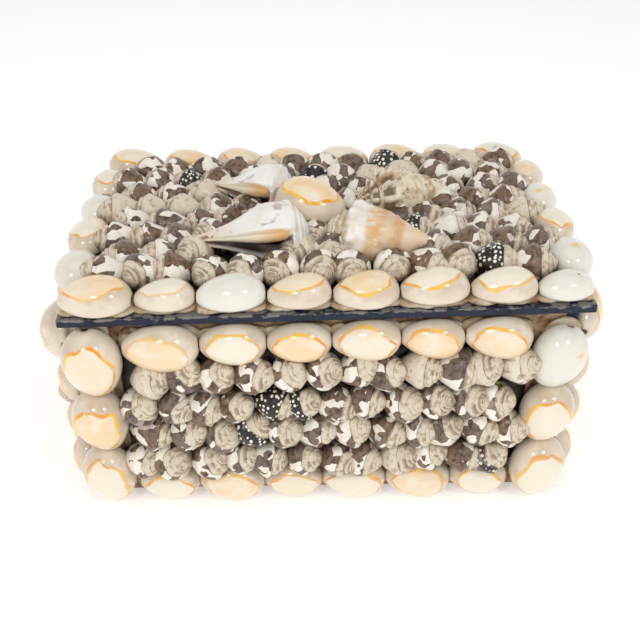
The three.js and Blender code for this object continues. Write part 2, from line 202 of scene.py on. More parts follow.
def cowrie_skin(length, build, draw, ring, white, spots=()):
    """A ring cowrie along X with its flat side on Z = 0, its wide end at -X. The traits hold a
    random share, the strength of its ring and how white it is. A spot holds its place as shares
    of half the length and width, its radius in mm, and 1 where it is yellow or 2 where a hole."""
    plump = draw.uniform(0.97, 1.04)
    taper = draw.uniform(0.1, 0.19)
    turn = np.linspace(0, math.pi, COWRIE_RINGS + 2)[1:-1, None]
    angle = (np.arange(COWRIE_SIDES) * 2 * math.pi / COWRIE_SIDES)[None, :]
    along = -np.cos(turn)
    swell = (1 - taper * along) / (1 + taper / 4)
    half_width, height = length * build["width"] / 2, length * build["height"]
    half = half_width * plump * np.sin(turn) ** 1.02 * swell
    floor = length * COWRIE_TIP_LIFT * (1 - np.sin(turn) ** 1.3)
    thick = height * np.sin(turn) ** 1.02 * swell
    across, up = np.cos(angle), np.sin(angle)
    margin = thick * COWRIE_MARGIN
    above = floor + margin + (thick - margin) * np.clip(up, 0, 1) ** 0.92
    below = floor + margin * (1 - np.clip(-up, 0, 1) ** 0.6)
    squareness = np.where(up < 0, 0.75, 0.96)
    x = along * length / 2 + 0 * angle
    y = half * np.sign(across) * np.abs(across) ** squareness
    z = np.where(up >= 0, above, below)
    tip = length * COWRIE_TIP_LIFT
    reach = length * NOTCH_REACH
    notch = np.exp(-((y / reach) ** 2) - ((z - tip) / reach) ** 2) * (np.abs(along) > 0.8)
    x = x - np.sign(along) * notch * length * NOTCH_DEPTH
    marks = [notch, 0 * notch, 0 * notch]
    for spot_x, spot_y, radius, kind in spots:
        away = np.hypot(x - spot_x * length / 2, y - spot_y * half_width) / (radius * MM)
        marks[kind] = np.maximum(marks[kind], smooth_step(1.3, 0.5, away) * (up > 0))
    end = length / 2 - length * NOTCH_DEPTH
    measure = np.array([length / 2, half_width, height])
    skin = closed_skin(
        [-end, 0, tip],
        np.stack([x, y, z], axis=-1),
        [end, 0, tip],
        lambda points: points / measure,
        np.stack(marks, axis=-1),
        (draw.uniform(), ring, white),
    )
    skin["marks"][[0, -1], 0] = 1
    return skin


def glue_bead(length, width, height, draw):
    """A lumpy ridge of dry glue along X, flat side on Z = 0."""
    rings, sides = 30, 16
    along = np.linspace(-1, 1, rings + 2)[1:-1, None]
    angle = (np.arange(sides) * 2 * math.pi / sides)[None, :]
    phases = draw.uniform(0, 2 * math.pi, 4)
    lumps = 0.07 * np.sin(4 * along + angle + phases[0]) + 0.05 * np.sin(9 * along + phases[1])
    lumps = lumps + 0.03 * np.sin(15 * along - 3 * angle + phases[2])
    swell = (1 - along**8) * (1 + lumps)
    y = width / 2 * np.cos(angle) * swell
    z = height * np.clip(np.sin(angle), 0, 1) ** 0.7 * swell
    grid = np.stack([along * length / 2 + 0 * angle, y, z], axis=-1)
    skin = closed_skin(
        [-length / 2, 0, 0],
        grid,
        [length / 2, 0, 0],
        lambda points: points / (10 * MM),
        np.zeros_like(grid),
        (draw.uniform(), draw.uniform(), draw.uniform()),
    )
    skin["finish"] = GLUE_FINISH
    return skin


GLUE_SHARE = {"length": 1.12, "width": 0.66}
GLUE_HEIGHT = 1.7 * MM
GROUND_GAP = 0.1 * MM


def cowrie_on(place, middle, heading, length, build, draw, look, rock=0):
    """A cowrie and its glue on a wall or the lid, turned by its heading in degrees."""
    seat = place @ Matrix.Translation(middle) @ turned(heading)
    width = length * build["width"] * GLUE_SHARE["width"]
    bead = glue_bead(length * GLUE_SHARE["length"], width, GLUE_HEIGHT, draw)
    skin = cowrie_skin(length, build, draw, *look)
    return [posed(skin, seat @ turned(rock, "X")), posed(bead, seat)]


# Marks of a cowrie that a spot of its look may stand for
YELLOW = 1
HOLE = 2

# The cowries that differ from the rest: how strong the ring is, how white the shell is, its spots
COWRIE_LOOKS = {
    "lid_front_cowrie_2": (0.4, 0.5, ()),
    "lid_front_cowrie_3": (0.0, 1.0, ()),
    "lid_front_cowrie_8": (0.0, 0.95, ((-0.33, 0.2, 0.6, HOLE),)),
    "lid_left_cowrie_2": (0.0, 0.9, ((0.3, -0.3, 2.3, HOLE),)),
    "lid_left_cowrie_4": (0.0, 0.8, ()),
    "lid_right_cowrie_1": (0.0, 1.0, ((-0.3, -0.15, 1.6, YELLOW),)),
    "lid_right_cowrie_3": (0.0, 1.0, ((-0.45, 0.1, 1.3, YELLOW), (-0.2, -0.4, 1.4, YELLOW))),
    "lid_right_cowrie_4": (0.0, 0.5, ()),
    "front_right_cowries_2": (0.0, 1.0, ((-0.5, 0.4, 1.3, YELLOW),)),
    "front_top_cowries_0": (0.45, 0.3, ()),
    "left_top_cowries_3": (0.6, 0.1, ((0.8, 0.1, 2.2, HOLE),)),
}

# Lengths of the shells of the rows that face the viewer, as shares of the row's even spacing
ROW_SHARES = {
    "lid_front": (1.11, 0.92, 1.05, 0.98, 1.01, 1.06, 1.02, 0.85),
    "front_top_cowries": (1.12, 0.98, 0.95, 1.01, 0.94, 1.0),
    "front_bottom_cowries": (0.97, 1.05, 0.94, 1.03, 1.06, 0.95),
}


def look_of(name, draw):
    ring = draw.uniform(0.75, 1.0)
    white = draw.uniform(0.0, 0.3)
    return COWRIE_LOOKS.get(name, (ring, white, ()))


def row_shares(name, count, draw):
    shares = np.array(ROW_SHARES.get(name) or draw.uniform(0.95, 1.05, count))
    return shares / shares.sum()


def lifted_clear(skin):
    """The skin, raised where it would reach under the ground that the box stands on."""
    rise = max(0.0, GROUND_GAP - skin["points"][:, 2].min())
    return posed(skin, Matrix.Translation((0, 0, rise)))


WALL_TURN = 4
WALL_ROCK = 6
WALL_OVERLAP = 1.03
LID_TURN = 5
LID_ROCK = 5
LID_OVERLAP = 1.02


def spread(draw, reach):
    """A random value up to the reach on either side of 0."""
    return draw.uniform(-reach, reach)


def cowrie_row(node, place, count, climb, build, draw, lean=0):
    """The skins of a row or column of cowries over the box of its CAD node. The wide ends point
    to the right or up."""
    low, high = box_in(node, place)
    size = high - low
    upright = size.y > size.x
    span = size.y if upright else size.x
    middle = (low + high) / 2
    heading = 90 if upright else math.degrees(math.atan(climb))
    direction = Vector((math.cos(math.radians(heading)), math.sin(math.radians(heading)), 0))
    skins = []
    begun = 0
    for index, share in enumerate(row_shares(node, count, draw)):
        length = share * span
        offset = (begun + share / 2 - 0.5) * span
        begun += share
        centre = middle + direction * offset
        centre.z = low.z
        look = look_of(f"{node}_{index}", draw)
        turn = heading + 180 + lean + spread(draw, WALL_TURN)
        rock = spread(draw, WALL_ROCK)
        pair = cowrie_on(place, centre, turn, length * WALL_OVERLAP, build, draw, look, rock)
        skins += [lifted_clear(skin) for skin in pair]
    return skins


# Coiled shells. A form holds shares of the shell's length and of its greatest radius.

PLAIN_FORM = {
    "mouth_turn": 0.2,
    "mouth_depth": 0.5,
    "lip_flare": 0.12,
    "knobs": 0,
    "knob_height": 0,
    "cords": 0,
    "cord_height": 0,
    "winding": 1,
}
DOVE_FORM = {
    **PLAIN_FORM,
    "profile": ((0, 0.06), (0.03, 0.24), (0.1, 0.46), (0.2, 0.7), (0.3, 0.88), (0.4, 1), (0.54, 0.98))
    + ((0.7, 0.8), (0.86, 0.5), (1, 0.16)),
    "shoulder": 0.4,
    "growth": 1.8,
    "bulge": 0.1,
    "groove": 0.1,
    "skew": 0.9,
    "spiral": 0.16,
    "mouth": (0.42, 0.99),
    "mouth_depth": 0.4,
    "lip_flare": 0.1,
}
WHELK_FORM = {
    **PLAIN_FORM,
    "profile": ((0, 0.1), (0.02, 0.34), (0.05, 0.58), (0.1, 0.82), (0.17, 0.98), (0.28, 1.02), (0.38, 1))
    + ((0.47, 0.88), (0.56, 0.7), (0.66, 0.52), (0.76, 0.38), (0.88, 0.26), (1, 0.13)),
    "shoulder": 0.2,
    "growth": 1.75,
    "bulge": 0.05,
    "groove": 0.05,
    "skew": 1.4,
    "spiral": 0.28,
    "mouth": (0.17, 0.99),
    "mouth_turn": 0.3,
    "mouth_depth": 0.66,
    "lip_flare": 0.22,
    "knobs": 7,
    "knob_height": 0.04,
    "winding": -1,
}
SPINY_FORM = {
    **PLAIN_FORM,
    "profile": ((0, 0.08), (0.05, 0.3), (0.13, 0.54), (0.22, 0.74), (0.32, 0.92), (0.42, 1), (0.55, 0.92))
    + ((0.69, 0.7), (0.83, 0.44), (0.95, 0.26), (1, 0.14)),
    "shoulder": 0.3,
    "growth": 1.75,
    "bulge": 0.06,
    "groove": 0.16,
    "skew": 1.1,
    "spiral": 0.16,
    "mouth": (0.36, 0.95),
    "knobs": 7,
    "knob_height": 0.42,
    "cords": 11,
    "cord_height": 0.05,
}
BANDED_FORM = {
    **PLAIN_FORM,
    "profile": ((0, 0.1), (0.04, 0.3), (0.12, 0.5), (0.2, 0.66), (0.27, 0.86), (0.34, 1), (0.48, 0.98))
    + ((0.62, 0.82), (0.78, 0.54), (0.92, 0.3), (1, 0.16)),
    "shoulder": 0.28,
    "growth": 1.6,
    "bulge": 0.1,
    "groove": 0.17,
    "skew": 1.3,
    "spiral": 0.2,
    "mouth": (0.3, 0.97),
    "knobs": 8,
    "knob_height": 0.17,
}
PROFILE_SOFTNESS = 0.03
PROFILE_SAMPLES = 7
GROOVE_REACH = 0.08


def profile_at(share, pairs):
    """The width of a profile at each share of the length, with its corners rounded off."""
    along, wide = np.array(pairs).T
    offsets = np.linspace(-PROFILE_SOFTNESS, PROFILE_SOFTNESS, PROFILE_SAMPLES)
    offsets = offsets * np.minimum(1, share / 0.1)[..., None]
    return np.interp(share[..., None] + offsets, along, wide).mean(axis=-1)


def coiled_skin(length, radius, form, rings, sides, draw, traits):
    """A coiled shell along X, its point at -X and its canal at +X. Turn 0 is at its outer lip."""
    share = np.linspace(0, 1, rings + 2)[1:-1]
    share = share - 0.6 * np.sin(2 * math.pi * share) / (2 * math.pi)
    s, t = np.meshgrid(share, np.arange(sides) / sides, indexing="ij")
    turns = np.log(s / form["shoulder"]) / math.log(form["growth"]) + t
    step = np.where(turns < 0, turns - np.floor(turns), np.clip(turns, 0, 1))
    edge = np.where(turns < 0.5, np.abs(turns - np.round(turns)), 1)
    r = profile_at(s, form["profile"])
    r = r * (1 + form["bulge"] * np.sin(math.pi * step ** form["skew"]))
    r = r * (1 - form["groove"] * hump(edge, 0, GROOVE_REACH))
    r = r * (1 + form["spiral"] * (t - 0.5) * smooth_step(-0.6, 0.6, turns))
    relief = np.zeros_like(s)
    if form["knobs"]:
        wave = np.clip(np.cos(2 * math.pi * form["knobs"] * (t + 0.06 * np.sin(9 * t))), 0, 1) ** 0.8
        relief = wave * (hump(step, 0.42, 0.3) + 0.6 * hump(turns, 0.95, 0.24))
        r = r * (1 + form["knob_height"] * relief * (0.4 + 0.6 * smooth_step(-2, 0, turns)))
    if form["cords"]:
        waves = np.cos(2 * math.pi * form["cords"] * s) * smooth_step(0.1, 0.6, turns)
        r = r * (1 + form["cord_height"] * waves)
    start, stop = form["mouth"]
    reach = np.clip(1 - ((2 * s - start - stop) / (stop - start)) ** 2, 0, 1)
    span = form["mouth_turn"] * reach**0.4 + 1e-6
    across = t / span
    inside = smooth_step(0.05, 0.5, across) * smooth_step(1, 0.66, across) * reach**0.3
    lip = smooth_step(0.9, 1, t) ** 2 * reach**0.5
    inner_lip = smooth_step(0.5, 0.1, across) * (across < 0.5) * reach**0.5
    r = r * (1 - form["mouth_depth"] * inside) * (1 + form["lip_flare"] * np.maximum(lip, inner_lip))
    r = r * radius * (1 + 0.015 * draw.uniform(-1, 1) * np.cos(2 * math.pi * (t + 3 * s)))
    outer_lip = smooth_step(0.975, 1, t) * reach**0.5
    angle = 2 * math.pi * t * form["winding"]
    grid = np.stack([(s - 0.5) * length, np.cos(angle) * r, np.sin(angle) * r], axis=-1)
    return closed_skin(
        [-length / 2, 0, 0],
        grid,
        [length / 2, 0, 0],
        lambda points: points / length,
        np.stack([inside, np.maximum(outer_lip, inner_lip), relief], axis=-1),
        traits,
    )


# Fields of dove shells

DOVE_RINGS = 34
DOVE_SIDES = 28
EDGE_SHARE = 0.3
ROW_EDGE = 0.7
BED_MARGIN = 2.5 * MM
BED_COLUMNS = 56
BED_ROWS = 22
BED_THICKNESS = 1.7 * MM
DOVE_ROLL = -110
DOVE_ROLL_SPREAD = 45


def field_places(width, height, rise, row_pitch, column_pitch, doves):
    """Staggered places over a field whose upper edge climbs by the given rise."""
    reach = width - EDGE_SHARE * doves.length
    columns = max(2, round(reach / column_pitch) + 1)
    rows = max(2, round((height + rise / 2 - doves.width) / row_pitch) + 1)
    step = reach / (columns - 0.5)
    for row in range(rows):
        for column in range(columns):
            u = (column + (row % 2) / 2) * step - reach / 2
            top = height + rise * (0.5 + u / width)
            margin = ROW_EDGE * doves.width
            v = (top - margin) * (row / (rows - 1)) + (margin - height) / 2
            yield u, v


def dove_on(place, u, v, seat, heading, lift, doves, draw):
    """A dove shell at its place, its point towards its heading and lifted off the board. Both are
    in degrees."""
    length = doves.length * draw.uniform(0.92, 1.14)
    width = doves.width * draw.uniform(0.94, 1.12)
    traits = (draw.uniform(), draw.uniform(), draw.uniform())
    skin = coiled_skin(length, width / 2, DOVE_FORM, DOVE_RINGS, DOVE_SIDES, draw, traits)
    rolled = turned(180) @ turned(DOVE_ROLL + spread(draw, DOVE_ROLL_SPREAD), "X")
    laid = posed(skin, turned(heading) @ turned(-lift, "Y") @ rolled)
    # The last mark is how low each point lies towards the board: it sets the painted shade there
    laid["marks"][:, 2] = smooth_step(0.35, -0.4, laid["points"][:, 2] / width)
    return posed(laid, place @ Matrix.Translation((u, v, seat)))


def glue_bed(place, low, high, rise, draw):
    """A lumpy closed bed of glue over a field, in the frame of its board."""
    margin = Vector((BED_MARGIN, BED_MARGIN, 0))
    low = low - margin
    size = high + margin - low
    shape = (BED_COLUMNS, BED_ROWS)
    u, v = np.meshgrid(*(np.linspace(0, 1, count) for count in shape), indexing="ij")
    x = low.x + size.x * u
    y = low.y + (size.y - abs(rise)) * v + rise * (u if rise > 0 else u - 1) * v
    lumps = draw.uniform(0.5, 1.7, shape)
    inner = (u > 0) & (u < 1) & (v > 0) & (v < 1)
    z = low.z + BED_THICKNESS * np.where(inner, lumps, 0.4)
    top = np.stack([x, y, z], axis=-1)
    bottom = np.stack([x, y, np.full_like(x, low.z)], axis=-1)
    points = np.vstack([top.reshape(-1, 3), bottom.reshape(-1, 3)])
    under = u.size
    index = np.arange(under).reshape(shape)
    a, b, c, d = index[:-1, :-1], index[1:, :-1], index[1:, 1:], index[:-1, 1:]
    halves = [np.stack([a, b, c], axis=-1), np.stack([a, c, d], axis=-1)]
    faces = np.vstack([half.reshape(-1, 3) for half in halves])
    rim = np.concatenate([index[:-1, 0], index[-1, :-1], index[:0:-1, -1], index[0, :0:-1]])
    after = np.roll(rim, -1)
    sides = [(rim, rim + under, after + under), (rim, after + under, after)]
    sides = [np.stack(corners, axis=1) for corners in sides]
    return posed(
        {
            "points": points,
            "triangles": np.vstack([faces, faces[:, ::-1] + under, *sides]),
            "place": points / (10 * MM),
            "marks": np.zeros_like(points),
            "traits": np.full_like(points, 0.5),
            "finish": GLUE_FINISH,
        },
        place,
    )


# Larger shells on the lid. The middle, length and greatest radius are in mm. The canal points its
# heading in degrees from +X, and the roll is about the shell's own length.

LARGE_RINGS = 150
LARGE_SIDES = 96
LARGE_SHELLS = {
    "lid_back_conch": {"middle": (-27.5, 12.5), "heading": 158, "roll": 36, "length": 34.5, "radius": 10.8},
    "lid_front_conch": {"middle": (-27, -26.5), "heading": 187, "roll": 32, "length": 43, "radius": 11.2},
    "lid_spiny_shell": {"middle": (32.5, 3), "heading": 20, "roll": -130, "length": 39, "radius": 9.4},
    "lid_banded_shell": {"middle": (19.5, -28.5), "heading": -17, "roll": -130, "length": 39, "radius": 10.8},
}
CENTRE_COWRIE = {"heading": -26, "length": 29.5, "paleness": 0.1}
BOARD_GAP = 0.3 * MM


def large_shell(scene, node, form, finish, slot):
    """A coiled shell on its side on the lid, with a seed of its own by its place in the list."""
    seed = scene.shell_box_stage.seed + 5 + list(LARGE_SHELLS).index(node)
    draw = np.random.default_rng(seed)
    shell = LARGE_SHELLS[node]
    length, radius = shell["length"] * MM, shell["radius"] * MM
    traits = (draw.uniform(), draw.uniform(), draw.uniform())
    skin = coiled_skin(length, radius, form, LARGE_RINGS, LARGE_SIDES, draw, traits)
    laid = posed(skin, turned(shell["heading"]) @ turned(shell["roll"], "X"))
    board_top = box_in("lid_board", LID)[1].z
    x, y = shell["middle"]
    rise = board_top + BOARD_GAP - laid["points"][:, 2].min()
    placed = posed(laid, LID @ Matrix.Translation((x * MM, y * MM, rise)))
    shell_piece(node.replace("lid_", "dressed_"), [placed], [finish_of(scene, finish)], slot, node)


def is_covered(u, v, spare):
    """Whether a place on the lid lies under one of the larger shells."""
    for shell in LARGE_SHELLS.values():
        angle = math.radians(shell["heading"])
        x, y = shell["middle"]
        dx, dy = u - x * MM, v - y * MM
        along = dx * math.cos(angle) + dy * math.sin(angle)
        across = dy * math.cos(angle) - dx * math.sin(angle)
        long_reach = shell["length"] / 2 * MM + spare
        if math.hypot(along / long_reach, across / (shell["radius"] * MM + spare)) < 1:
            return True
    return False


# Finishes

THREADS = 46
SEED_SPREAD = 9.0


class Value:
    """A number that a node gives out, for use in sums."""

    def __init__(self, finish, socket):
        self.finish = finish
        self.socket = socket

    def __add__(self, other):
        return self.finish.maths("ADD", self, other)

    def __sub__(self, other):
        return self.finish.maths("SUBTRACT", self, other)

    def __rsub__(self, other):
        return self.finish.maths("SUBTRACT", other, self)

    def __mul__(self, other):
        return self.finish.maths("MULTIPLY", self, other)

    def __truediv__(self, other):
        return self.finish.maths("DIVIDE", self, other)

    def __pow__(self, other):
        return self.finish.maths("POWER", self, other)

    def __abs__(self):
        return self.finish.maths("ABSOLUTE", self)


class Finish:
    """A material under construction."""

    def __init__(self, name):
        material = bpy.data.materials.new(name)
        material.use_nodes = True
        self.tree = material.node_tree
        self.shader = self.tree.nodes["Principled BSDF"]

    def feed(self, socket, value):
        if isinstance(value, Value):
            value = value.socket
        if isinstance(value, bpy.types.NodeSocket):
            self.tree.links.new(value, socket)
        else:
            socket.default_value = value

    def node(self, kind, inputs=(), **settings):
        node = self.tree.nodes.new("ShaderNode" + kind)
        for name, value in settings.items():
            setattr(node, name, value)
        for name, value in dict(inputs).items():
            self.feed(node.inputs[name], value)
        return node

    def maths(self, operation, *values):
        return Value(self, self.node("Math", enumerate(values), operation=operation).outputs[0])

    def vector(self, operation, first, second):
        other = "Scale" if operation == "SCALE" else 1
        return self.node("VectorMath", {0: first, other: second}, operation=operation).outputs[0]

    def carried(self, name):
        return self.node("Attribute", attribute_name=name).outputs["Vector"]

    def parts(self, vector):
        return [Value(self, part) for part in self.node("SeparateXYZ", {0: vector}).outputs]

    def own(self):
        """The shell's own measure, moved by its traits so that no two shells look alike."""
        offset = self.vector("SCALE", self.carried("traits"), SEED_SPREAD)
        return self.vector("ADD", self.carried("place"), offset)

    def stretched(self, vector, along, across):
        return self.vector("MULTIPLY", vector, (along, across, across))

    def noise_node(self, vector, scale, detail, roughness=0.5):
        inputs = {"Vector": vector, "Scale": scale, "Detail": detail, "Roughness": roughness}
        return self.node("TexNoise", inputs)

    def noise(self, vector, scale, detail=2.0, roughness=0.5):
        return Value(self, self.noise_node(vector, scale, detail, roughness).outputs[0])

    def drift(self, vector, scale, detail):
        """A vector of noise, from 0 to 1 in each direction."""
        return self.noise_node(vector, scale, detail).outputs[1]

    def cells(self, vector, scale, randomness=1.0, feature="F1"):
        inputs = {"Vector": vector, "Scale": scale, "Randomness": randomness}
        return self.node("TexVoronoi", inputs, feature=feature)

    def between(self, value, low, high):
        """0 below low, 1 above high, smooth between; the other way round where high is lower."""
        inputs = {"Value": value, "From Min": low, "From Max": high}
        node = self.node("MapRange", inputs, interpolation_type="SMOOTHSTEP")
        return Value(self, node.outputs[0])

    def coats(self, whole, *coats):
        """A colour under coats of others. A coat is its colour and how much of it covers, from 0 to
        1, or its colour, a value, and where along that value the coat begins and covers in full."""
        for top, cover, *limits in coats:
            share = self.between(cover, *limits) if limits else cover
            whole, top = (each if isinstance(each, Value) else (*each, 1) for each in (whole, top))
            node = self.node("Mix", {0: share, 6: whole, 7: top}, data_type="RGBA")
            whole = Value(self, node.outputs[2])
        return whole

    def bump(self, height, strength, millimetres):
        inputs = {"Strength": strength, "Distance": millimetres * MM, "Height": height}
        self.feed(self.shader.inputs["Normal"], self.node("Bump", inputs).outputs[0])

    def surface(self, **sockets):
        for name, value in sockets.items():
            self.feed(self.shader.inputs[name.replace("_", " ").title()], value)


def winding(finish, form):
    """The number of turns of a coiled shell past the start of its last whorl."""
    x, y, z = finish.parts(finish.carried("place"))
    share = finish.maths("MAXIMUM", x + 0.5, 0.01)
    round_share = finish.maths("ARCTAN2", z, y) / (2 * math.pi * form["winding"])
    grown = finish.maths("LOGARITHM", share / form["shoulder"], form["growth"])
    return grown + finish.maths("FRACT", round_share + 1.0)


def threads_along(finish, x):
    """A wave from -1 to 1 along a coiled shell, one for each of its fine threads."""
    return finish.maths("SINE", x * (2 * math.pi * THREADS))


def cowrie_glaze(finish, look):
    """Glossy porcelain with a thin golden ring round a peach back."""
    own = finish.own()
    chance, ring_strength, white = finish.parts(finish.carried("traits"))
    notch, spot, hole = finish.parts(finish.carried("marks"))
    wander = finish.vector("SUBTRACT", finish.drift(own, 1.5, 0.6), (0.5, 0.5, 0.5))
    moved = finish.vector("ADD", finish.carried("place"), finish.vector("SCALE", wander, 0.34))
    x, y, z = finish.parts(moved)
    end = abs(x)
    left = 1.0 - (end / 0.78) ** 2.4
    limit = finish.maths("MAXIMUM", left, 0.0) ** 0.7 * 0.78 + finish.maths("MINIMUM", left, 0.0)
    beyond = abs(y) - limit
    upper = finish.between(z, 0.3, 0.42)
    patchy = finish.noise(own, 2.6)
    corner = finish.between(end, 0.45, 0.72)
    thick = corner * 0.05 + (patchy * 0.06 + 0.025)
    line = finish.between(abs(beyond) / thick, 1.25, 0.5) * upper
    line = line * finish.between(patchy, 0.24, 0.42) * ring_strength
    cloud = finish.noise(own, 1.3, 3.0, 0.55)
    flank = finish.coats(look.margin, (look.flank, z, 0.1, 0.8), (look.margin, cloud, 0.4, 0.62))
    back = finish.coats(look.back, (look.pale_back, chance, 0.1, 0.9), (look.pale_back, cloud, 0.42, 0.7))
    whole = finish.coats(
        flank,
        (back, finish.between(beyond, 0.02, -0.04) * upper),
        (look.white, white, 0.35, 1.0),
        (finish.coats(look.ring, (look.ring_deep, corner * 0.3 + cloud, 0.45, 0.8)), line),
        (look.ring, spot * 0.85),
        (look.notch, finish.maths("MAXIMUM", notch, hole), 0.3, 0.75),
    )
    finish.bump(finish.noise(own, 5.0), 0.08, 0.25)
    finish.surface(base_color=whole, roughness=cloud * 0.12 + 0.12, coat_weight=0.3, coat_roughness=0.06)


def dove_skin_finish(finish, look):
    """Satin shell with a chalky point: brown ground with white flags, black with white dots, or
    all cream. Painted shade darkens it towards its board."""
    own = finish.own()
    kind, warmth, paleness = finish.parts(finish.carried("traits"))
    mouth, lip, depth = finish.parts(finish.carried("marks"))
    turns = winding(finish, DOVE_FORM)
    spire = finish.between(turns, 0.03, -0.03)
    edge = abs(turns - finish.maths("ROUND", turns))
    ragged = finish.vector("SCALE", finish.drift(own, 4.0, 1.5), 0.16)
    warped = finish.vector("ADD", finish.stretched(own, 0.8, 1.35), ragged)
    patch = finish.parts(finish.cells(warped, 4.6).outputs["Color"])[0]
    level = paleness * -0.22 + 0.68
    grain = finish.noise(own, 10.0, 3.0)
    seams = finish.cells(warped, 4.6, feature="DISTANCE_TO_EDGE").outputs["Distance"]
    flagged = finish.coats(
        look.grey_brown,
        (look.warm_brown, warmth),
        (look.umber, grain, 0.42, 0.7),
        (look.umber, finish.between(seams, 0.09, 0.02) * 0.35),
        (finish.coats(look.chalk, (look.cream, grain, 0.5, 0.8)), patch, level - 0.01, level + 0.01),
    )
    scattered = finish.vector("ADD", own, finish.vector("SCALE", ragged, 0.3))
    dots = finish.cells(scattered, 11.0, 0.5).outputs["Distance"]
    rounds = finish.maths("SINE", turns * (6 * math.pi))
    stain = finish.between(patch, 0.3, 0.27) * finish.between(edge, 0.42, 0.2)
    tip = finish.coats(
        look.cream,
        (look.sand, grain, 0.45, 0.75),
        (look.sand, finish.between(rounds, 0.5, 1.0) * 0.08),
        (look.warm_brown, stain * 0.6),
    )
    suture = finish.between(edge, 0.06, 0.01) * finish.between(turns, 0.5, 0.4)
    whole = finish.coats(
        finish.coats(look.black_and_painted_shade, (look.chalk, dots, 0.4, 0.32)),
        (flagged, kind, 0.05, 0.06),
        (finish.coats(look.cream, (look.sand, grain, 0.55, 0.72)), kind, 0.88, 0.89),
        (tip, spire),
        (look.umber, suture * 0.7),
        (look.chalk, lip, 0.3, 0.7),
        (look.umber, mouth, 0.3, 0.7),
        # Painted shade: the shell turns near black towards its board, by its depth mark
        (look.black_and_painted_shade, finish.maths("MINIMUM", depth * (grain * 0.6 + 0.6), 0.92)),
    )
    finish.bump(finish.noise(own, 12.0), 0.18, 0.25)
    finish.surface(base_color=whole, roughness=spire * 0.25 + 0.3, coat_weight=0.12, coat_roughness=0.2)


def whelk_finish(finish, look):
    """White shell with a few lilac-brown blotches, a dark mouth and a cream and orange lip."""
    own = finish.own()
    x = finish.parts(finish.carried("place"))[0]
    mouth, lip = finish.parts(finish.carried("marks"))[:2]
    wander = finish.vector("SCALE", finish.drift(own, 5.0, 2.0), 0.3)
    streaks = finish.noise(finish.vector("ADD", finish.stretched(own, 0.8, 1.3), wander), 4.4)
    canal = finish.between(x, 0.06, 0.4)
    threads = threads_along(finish, x)
    whole = finish.coats(
        look.white,
        (look.ivory, finish.noise(own, 3.0, 3.0), 0.45, 0.7),
        (look.blush, canal * 0.75),
        (look.lilac, finish.between(threads, 0.0, 1.0) * finish.between(x, 0.0, 0.25) * 0.14),
        (look.throat, finish.between(finish.noise(own, 16.0, 3.0), 0.6, 0.68) * canal * 0.8),
        (look.lilac, finish.between(streaks, 0.58, 0.66) * finish.between(x, 0.24, 0.1) * 0.7),
        (finish.coats(look.lip_cream, (look.lip, x, 0.1, -0.3)), lip, 0.2, 0.6),
        (finish.coats(look.mouth, (look.throat, finish.noise(own, 7.0), 0.4, 0.65)), mouth, 0.2, 0.6),
    )
    finish.bump(threads * (canal * 0.3) + finish.noise(own, 12.0, 3.0), 0.25, 0.3)
    finish.surface(base_color=whole, roughness=0.3, coat_weight=0.15, coat_roughness=0.2)


def spiny_finish(finish, look):
    """Rough cream and beige shell with pale knobs, dark furrows and rusty stains."""
    own = finish.own()
    mouth, _, relief = finish.parts(finish.carried("marks"))
    turns = winding(finish, SPINY_FORM)
    knobby = finish.between(turns, 1.2, 0.8) * finish.between(finish.maths("FRACT", turns), 0.1, 0.3)
    whole = finish.coats(
        look.spiny_cream,
        (look.spiny_beige, finish.noise(own, 9.0, 4.0, 0.7), 0.4, 0.62),
        (look.spiny_brown, finish.between(finish.noise(own, 13.0, 3.0, 0.6), 0.42, 0.34) * 0.6),
        (look.rust, finish.between(finish.noise(own, 4.5, 3.0), 0.54, 0.64) * 0.7),
        (look.spiny_brown, knobby * finish.between(relief, 0.25, 0.02) * 0.85),
        (look.ivory, relief, 0.35, 0.75),
        (look.throat, mouth, 0.3, 0.75),
    )
    finish.bump(finish.noise(own, 18.0, 5.0, 0.65), 0.8, 0.7)
    finish.surface(base_color=whole, roughness=0.48)


BANDS = (
    # where a band of the banded shell starts, as a share of its length from its middle, its
    # colour, and how much of it is speckled white
    (-0.07, "amber", 0.7),
    (0.1, "mauve", 0.2),
    (0.17, "amber", 0.2),
    (0.27, "blush", 0.0),
)
BAND_BLUR = 0.03


def banded_finish(finish, look):
    """Smooth white shoulder over bands of tan and amber with a lined canal."""
    own = finish.own()
    x = finish.parts(finish.carried("place"))[0]
    mouth = finish.parts(finish.carried("marks"))[0]
    along = finish.noise(own, 5.0) * 0.12 + (x - 0.06)
    speckle = finish.noise(finish.stretched(own, 0.7, 1.2), 13.0, 3.0)
    cloud = finish.noise(own, 4.0, 3.0)
    pale = finish.between(speckle, 0.56, 0.62)
    bands = []
    for start, name, share in BANDS:
        band = finish.coats(getattr(look, name), (look.tan, cloud, 0.35, 0.6), (look.ivory, pale * share))
        bands.append((band, along, start - BAND_BLUR, start + BAND_BLUR))
    lined = finish.between(threads_along(finish, x), 0.0, 1.0) * finish.between(x, 0.1, 0.3)
    whole = finish.coats(
        finish.coats(look.ivory, (look.spiny_beige, speckle, 0.42, 0.58)),
        (finish.coats(look.white, (look.ivory, cloud, 0.42, 0.62)), along, -0.27, -0.22),
        *bands,
        (look.ivory, lined * 0.4),
        (look.throat, mouth, 0.3, 0.75),
    )
    finish.bump(finish.noise(own, 14.0, 3.0), 0.3, 0.3)
    finish.surface(base_color=whole, roughness=0.32, coat_weight=0.12, coat_roughness=0.2)


def glue_finish(finish, look):
    """Dry glue: cloudy tan and white with brown runs."""
    own = finish.own()
    whole = finish.coats(
        look.glue,
        (look.glue_white, finish.noise(own, 1.4, 4.0, 0.6), 0.38, 0.62),
        (look.glue_brown, finish.noise(own, 0.9, 3.0), 0.52, 0.62),
    )
    finish.bump(finish.noise(own, 4.0, 3.0), 0.4, 0.4)
    finish.surface(base_color=whole, roughness=0.38)


